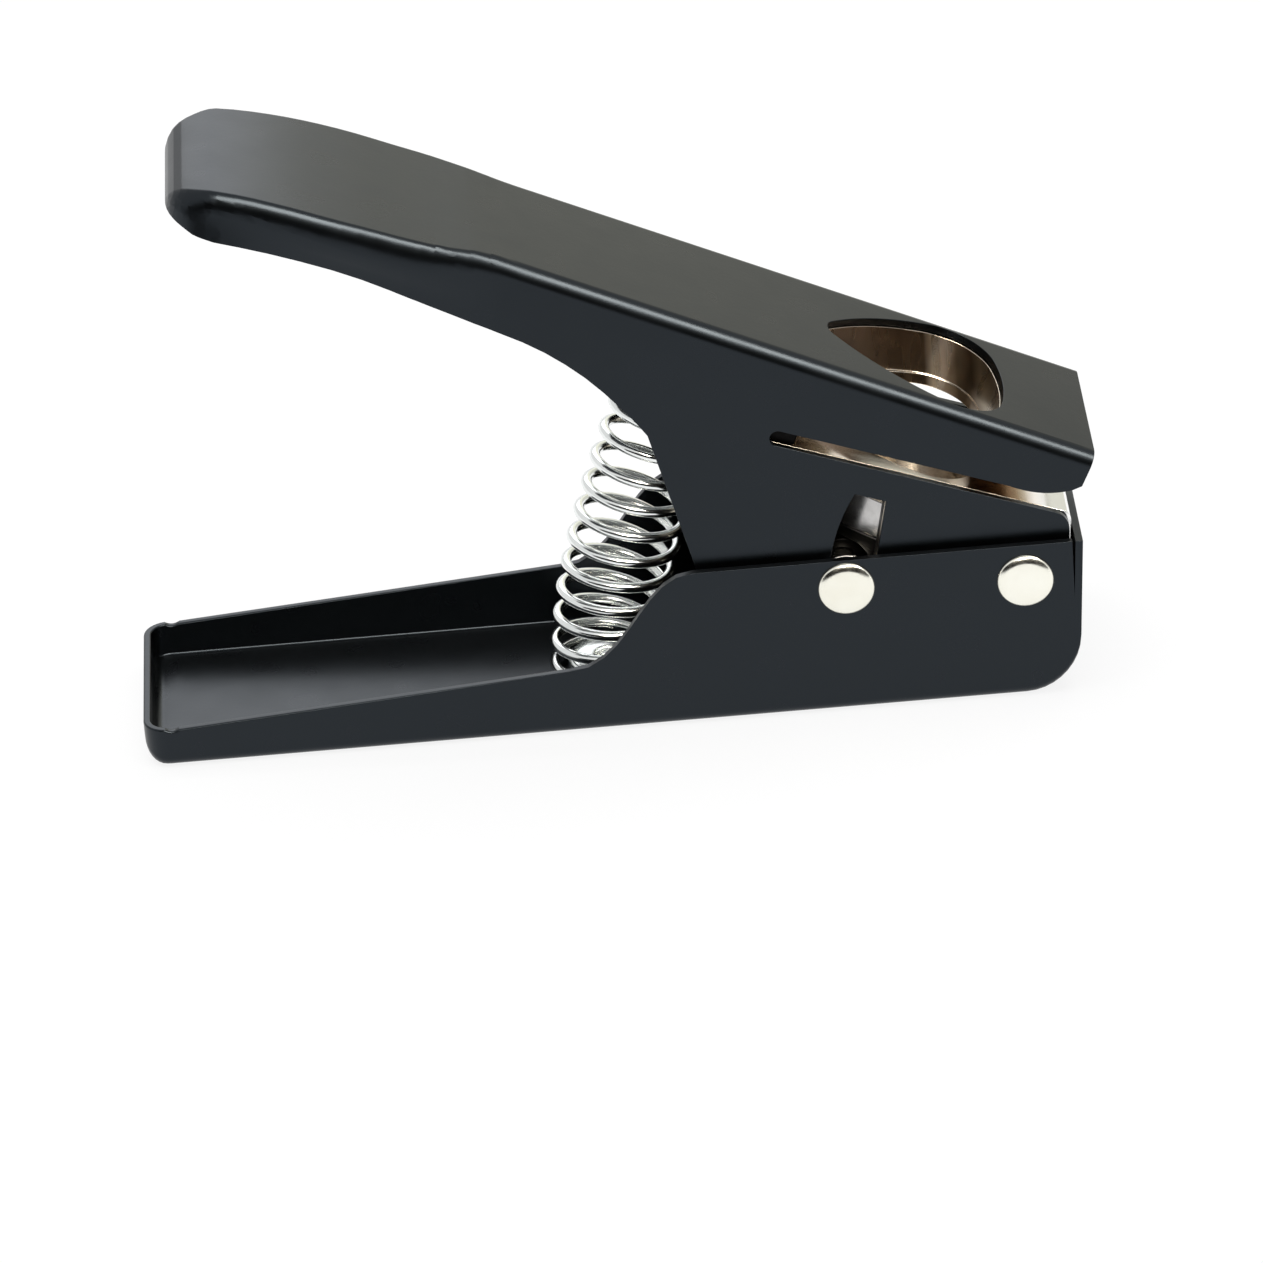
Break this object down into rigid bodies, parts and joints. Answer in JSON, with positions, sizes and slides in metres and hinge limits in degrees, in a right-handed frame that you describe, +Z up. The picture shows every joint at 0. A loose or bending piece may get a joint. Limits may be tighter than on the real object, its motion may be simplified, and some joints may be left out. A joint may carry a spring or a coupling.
{
  "type": "guitar pick punch",
  "caption": "Squeeze-handle punch of bent black sheet steel that cuts plectrums from plastic sheet, with a pick-shaped die window, card slot and coil return spring.",
  "frame": {"origin": "middle of the flat underside of the lower handle, which stands on the desk", "axes": "+X along the handles to the jaws, +Z up, Y across the handles"},
  "size_m": [0.1544, 0.0386, 0.1],
  "materials": {
    "black_coat": "semi-gloss black powder coat on bent sheet steel",
    "nickel_plate": "ground steel with warm nickel plating",
    "zinc_plate": "bright zinc plating",
    "tool_steel": "ground hardened steel",
    "dark_steel": "black oxide steel"
  },
  "bodies": {
    "lower": {"lower_handle": "black_coat", "pivot_rivet": "zinc_plate", "drive_rivet": "zinc_plate", "drive_roller": "dark_steel", "washer_pivot_near": "tool_steel", "washer_pivot_far": "tool_steel", "washer_drive_near": "tool_steel", "washer_drive_far": "tool_steel", "lower_spring_seat": "zinc_plate", "return_spring": "zinc_plate"},
    "upper": {"upper_handle": "black_coat", "die_block": "nickel_plate", "guide_block": "nickel_plate", "card_stop": "dark_steel", "clamp_screw_near": "dark_steel", "clamp_screw_far": "dark_steel", "dowel_near": "tool_steel", "dowel_far": "tool_steel", "upper_spring_seat": "zinc_plate"},
    "punch": {"punch_head": "tool_steel", "punch_carrier": "tool_steel", "punch_screw_near": "dark_steel", "punch_screw_far": "dark_steel"}
  },
  "joints": [
    {"name": "upper_hinge", "type": "hinge", "parent": "lower", "child": "upper", "pos_m": [0.0663, 0, 0.021], "axis": [0, -1, 0], "range_deg": [0, 26], "stiffness_Nm_per_rad": 3, "springref_deg": -14.32, "deforming": ["return_spring"]},
    {"name": "punch_slide", "type": "slide", "parent": "upper", "child": "punch", "axis": [0.3453, 0, 0.9385], "range_m": [0, 0.0128]}
  ],
  "couplings": [
    {"joint": "punch_slide", "follows": "upper_hinge", "m_per_rad": 0.028196}
  ]
}
